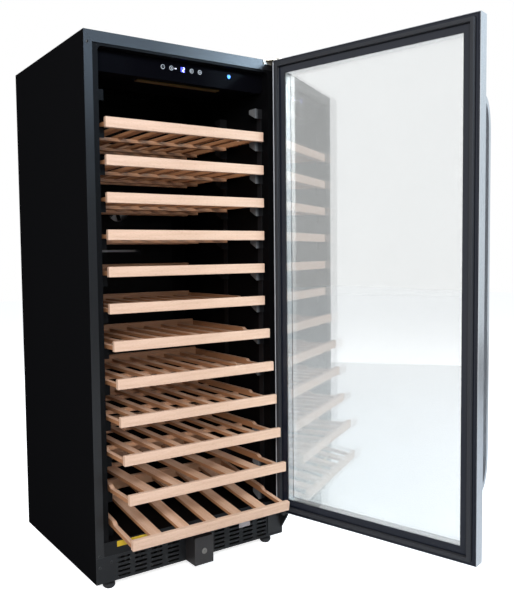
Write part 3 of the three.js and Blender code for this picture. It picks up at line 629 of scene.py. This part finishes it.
def shelf_turn(number):
    """From a shelf's own frame, with its front bar's foot at the origin, to its place."""
    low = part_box(f"shelf_{number}")[0]
    if number < SHELF_COUNT:
        return Matrix.Translation((0, low.y, low.z + CROSSBAR_DROP))
    lean = BAR_HEIGHT * math.sin(BOTTOM_SHELF_TILT)
    return Matrix.Translation((0, low.y + lean, low.z)) @ Matrix.Rotation(BOTTOM_SHELF_TILT, 4, "X")


def make_shelf(number):
    """The two lowest shelves have fewer, wider slats, and the lowest one is shorter too."""
    lowest, wide = number == SHELF_COUNT, number >= SHELF_COUNT - 1
    depth = SHORT_SHELF_DEPTH if lowest else SHELF_DEPTH
    slats, slat_width = WIDE_SLATS if wide else NARROW_SLATS
    crossbars = () if lowest else WIDE_CROSSBARS if wide else NARROW_CROSSBARS
    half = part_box(f"shelf_{number}")[1].x
    inner = half - RAIL_WIDTH
    rear_bar = depth - REAR_BAR_DEPTH

    shape = Shape()
    shape.box((-half, 0, 0), (half, BAR_DEPTH, BAR_HEIGHT), "bar", 0.0018, 3)
    space = (2 * inner - slats * slat_width) / (slats + 1)
    for i in range(slats):
        x = -inner + space + i * (slat_width + space)
        low, high = (x, BAR_DEPTH, SLAT_BOTTOM), (x + slat_width, rear_bar + JOINT_LAP, SLAT_TOP)
        shape.box(low, high, "slat", 0.0014)
    for sides in ((-half + 0.0004, -inner), (inner, half - 0.0004)):
        shape.prism(rail_outline(depth), 0, *sides, "slat", 0.0012)
    across = inner + JOINT_LAP
    for y in crossbars:
        high = (across, y + CROSSBAR_DEPTH, SLAT_BOTTOM + 0.0002)
        shape.box((-across, y, -CROSSBAR_DROP), high, "crossbar", 0.0012)
    high = (across, depth - 0.001, REAR_BAR_TOP)
    shape.box((-across, rear_bar, -CROSSBAR_DROP), high, "crossbar", 0.0014)
    name = f"shelf_{number}"
    shape.piece(f"{name}_beech", name, "shelf_wood", name, turn=shelf_turn(number))


# ---------------------------------------------------------------- door


def door_ring(name, profile, look, slot, replaced):
    """A ring round the door from a closed (inset in mm, y) profile."""
    low, high = closed_box("door_frame")
    sides = (low.x, high.x, low.z, high.z)
    shape = Shape().frame_sweep([(inset * MM, y) for inset, y in profile], sides, look)
    shape.piece(name, "door", slot, replaced, turn=DOOR_TURN)


def make_inner_ring():
    """The black face round the glass: a lip, a channel for the seal and a bevel down to the pane."""
    face = closed_box("door_inner_frame")[1].y
    pane = closed_box("inner_glass")[1].y + 0.0003
    back, groove, channel = face - 0.012, face - 0.0012, face - 0.003
    profile = [(1.5, back), (1.5, groove), (2.6, face), (5.2, face), (5.6, groove), (6.4, groove)]
    profile += [(6.8, face), (12.6, face), (13.2, channel), (26.8, channel), (27.4, face)]
    profile += [(33.4, face), (34.4, face - 0.0004), (46.6, pane + 0.0008), (48.0, pane + 0.0004)]
    profile += [(48.0, pane), (30.7, pane), (30.7, back)]
    door_ring("door_inner_ring", profile, "door_black", "door_plastic", "door_inner_frame")


def make_seal():
    """The rubber seal: a foot in the channel, a narrow neck and a soft flat lip."""
    face = closed_box("door_inner_frame")[1].y
    top = closed_box("door_gasket")[1].y
    root, foot, waist, neck = face - 0.0028, face + 0.0016, face + 0.0026, face + 0.0044
    profile = [(14.4, root), (14.4, foot), (15.6, waist), (15.0, neck), (14.2, top - 0.0022)]
    profile += [(14.6, top - 0.0006), (15.8, top), (23.8, top), (25.2, top - 0.0008)]
    profile += [(25.8, top - 0.0024), (24.6, neck + 0.0002), (24.2, waist)]
    profile += [(25.4, foot - 0.0002), (25.4, root)]
    door_ring("door_seal", profile, "gasket", "gasket_rubber", "door_gasket")


def make_hinge_strip():
    """A thin bright strip down the hinge side of the door's inner face."""
    low, high = closed_box("door_frame")
    face = closed_box("door_inner_frame")[1].y
    start = (high.x - 0.0046, face - 0.003, low.z + 0.008)
    end = (high.x - 0.0004, face + 0.0005, high.z - 0.008)
    strip = Shape().box(start, end, "button", 0.0008)
    strip.piece("door_hinge_strip", "door", "door_stainless", turn=DOOR_TURN)


# ---------------------------------------------------------------- controls, screws and labels

BUTTON_MARKS = {
    "light_button": ("across", "across"),
    "power_button": ("upright", "across"),
    "warmer_button": ("across", "upright"),
    "cooler_button": ("across", "upright"),
}


def make_button(name, marks):
    """A black cap in a silver ring, with a plain mark on it."""
    low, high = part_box(name)
    centre = (low + high) / 2
    radius = (high.x - low.x) / 2
    front, back = low.y - centre.y, high.y - centre.y
    ring = [(0, back), (radius, back), (radius, front + 0.0006), (radius - 0.0006, front)]
    ring += [(radius - 0.0016, front), (radius - 0.0018, front + 0.0003), (0, front + 0.0003)]
    cap = radius - 0.0019
    face = [(0, front + 0.0004), (cap, front + 0.0004), (cap, front + 0.0002), (0, front + 0.0001)]
    shape = Shape()
    shape.turned(ring, centre, 1, "button")
    shape.turned(face, centre, 1, "gloss")
    long, thin = cap * 0.55, 0.0004
    for mark in marks:
        half_x, half_z = (long, thin) if mark == "across" else (thin, long)
        start = (centre.x - half_x, low.y, centre.z - half_z)
        shape.box(start, (centre.x + half_x, low.y + 0.0002, centre.z + half_z), "mark", 0)
    shape.piece(f"{name}_cap", name, "button_plastic", name)


# The lit bars of the digit: sideways and up from its middle in half widths and heights, and how each lies.
DIGIT_BARS = {
    "top": (0, 1, "across"),
    "middle": (0, 0, "across"),
    "upper_right": (1, 0.5, "upright"),
    "lower_left": (-1, -0.5, "upright"),
    "foot": (0, -1, "across"),
}


def add_digit(shape, centre, front, height, bars, look):
    """Flat bars on the front plane, each a little shorter than the side of the digit it stands for."""
    half_wide, half_tall, thick = height * 0.24, height / 2, height * 0.07
    for bar in bars:
        sideways, up, lie = DIGIT_BARS[bar]
        x, z = centre.x + sideways * half_wide, centre.z + up * half_tall
        across = lie == "across"
        half_x = half_wide * 0.8 if across else thick
        half_z = thick if across else half_tall * 0.42
        start = (x - half_x, front - 0.0002, z - half_z)
        shape.box(start, (x + half_x, front + 0.0002, z + half_z), look, 0)


def make_readout():
    """A dash and a glowing digit on the display window."""
    low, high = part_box("display_window")
    centre = (low + high) / 2
    height = (high.z - low.z) * 0.62
    shape = Shape()
    glow = Vector((centre.x + 0.003, low.y, centre.z))
    half = Vector((0.007, 0.0001, height * 0.6))
    shape.box(glow - half, glow + half, "glow", 0)
    add_digit(shape, centre + X * 0.006, low.y, height, DIGIT_BARS, "digits")
    add_digit(shape, centre - X * 0.023, low.y, height * 1.3, ("middle",), "dash")
    shape.piece("display_readout", "cabinet", "control_gloss")


LABEL_CORNER, LABEL_SIZE = (-0.281, 0.102), (0.105, 0.017)  # lower left corner, then width and height
PLATE_CORNER, PLATE_SIZE = (0.166, 0.057), (0.045, 0.024)
SIDE_SCREW_HEIGHTS, SIDE_SCREW_INSET = (0.05, 0.085, 1.585), 0.012
KICK_SCREW_SPREAD, KICK_SCREW_HEIGHT = 0.30, 0.06


def make_sticker(name, node, slot, corner, size, look):
    """A blank sticker on the front face of a node."""
    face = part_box(node)[0].y
    start = (corner[0], face - 0.0003, corner[1])
    end = (corner[0] + size[0], face + 0.0002, corner[1] + size[1])
    Shape().box(start, end, look, 0).piece(name, "cabinet", slot)


def make_screws():
    """Domed screw heads with a cross slot, on the left return and on the kick plate's ends."""
    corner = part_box("left_side_panel")[0]
    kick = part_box("kick_plate")[0].y
    places = [Vector((corner.x + SIDE_SCREW_INSET, corner.y, z)) for z in SIDE_SCREW_HEIGHTS]
    places += [Vector((hand * KICK_SCREW_SPREAD, kick, KICK_SCREW_HEIGHT)) for hand in (-1, 1)]
    radius, rise = 0.0042, 0.0016
    dome = [(0, 0.0004), (radius, 0.0004), (radius, -0.0004), (radius * 0.7, -rise * 0.8), (0, -rise)]
    slot_long, slot_thin = radius * 0.6, 0.0005
    shape = Shape()
    for place in places:
        shape.turned(dome, place, 1, "hinge", 20)
        for half_x, half_z in ((slot_long, slot_thin), (slot_thin, slot_long)):
            half = Vector((half_x, 0.0002, half_z))
            top = place - Y * rise
            shape.box(top - half, top + half, "gloss", 0)
    shape.piece("face_screws", "cabinet", "zinc_steel")


# ---------------------------------------------------------------- CAD nodes that stay


def keep(look, rounding, *nodes):
    """Gives CAD nodes their look and softens their edges."""
    for name in nodes:
        node = frame["nodes"][name]
        node.data.materials.clear()
        node.data.materials.append(LOOKS[look])
        if rounding:
            bevel = node.modifiers.new("edges", "BEVEL")
            bevel.width = rounding
            bevel.segments = 2
            bevel.limit_method = "ANGLE"
            bevel.angle_limit = math.radians(35)
            bevel.harden_normals = True
        node.data.polygons.foreach_set("use_smooth", [True] * len(node.data.polygons))
        node.data.set_sharp_from_angle(angle=math.radians(35))


def keep_cad_nodes():
    keep("cabinet", 0.0005, "left_side_panel", "right_side_panel", "top_panel", "back_panel")
    keep("face", 0.0004, "lower_face_panel")
    keep("grille", 0, "kick_plate", "rear_grille")
    keep("base", 0, "base_pan", "left_base_rail", "right_base_rail", "condenser")
    keep("zinc", 0, "top_hinge_bracket")
    keep("hinge", 0.0004, "bottom_hinge_bracket")
    keep("foam", 0, "foam_insulation")
    keep("liner", 0, "inner_liner", "left_shelf_rack")
    keep("rack", 0, "right_shelf_rack")
    keep("gloss", 0, "control_housing", "display_window")
    keep("board", 0, "control_board")
    keep("diffuser", 0.0004, "interior_light")
    keep("duct", 0, "duct_cover")
    keep("fan", 0, "circulation_fan", "condenser_fan")
    keep("aluminium", 0, "evaporator", "glass_spacer")
    keep("compressor", 0, "compressor")
    keep("lock", 0.0006, "lock_housing")
    keep("chrome", 0.0003, "lock_barrel", "lock_bolt")
    keep("steel_upright", 0.0005, "door_frame", "door_handle")
    keep("glass", 0, "outer_glass", "inner_glass")
    keep("bush", 0, "top_hinge_bush", "bottom_hinge_bush")
    keep("gland", 0, "cord_gland")
    keep("foot", 0, "front_left_foot", "front_right_foot", "rear_left_foot", "rear_right_foot")
    keep("blue", 0, "indicator_lens")


make_camera()
make_studio()
keep_cad_nodes()
for number in range(1, SHELF_COUNT + 1):
    make_shelf(number)
make_inner_ring()
make_seal()
make_hinge_strip()
for button, marks in BUTTON_MARKS.items():
    make_button(button, marks)
make_readout()
make_sticker("blank_label", "lower_face_panel", "cabinet_paint", LABEL_CORNER, LABEL_SIZE, "label")
make_sticker("blank_plate", "kick_plate", "grille_paint", PLATE_CORNER, PLATE_SIZE, "plate")
make_screws()
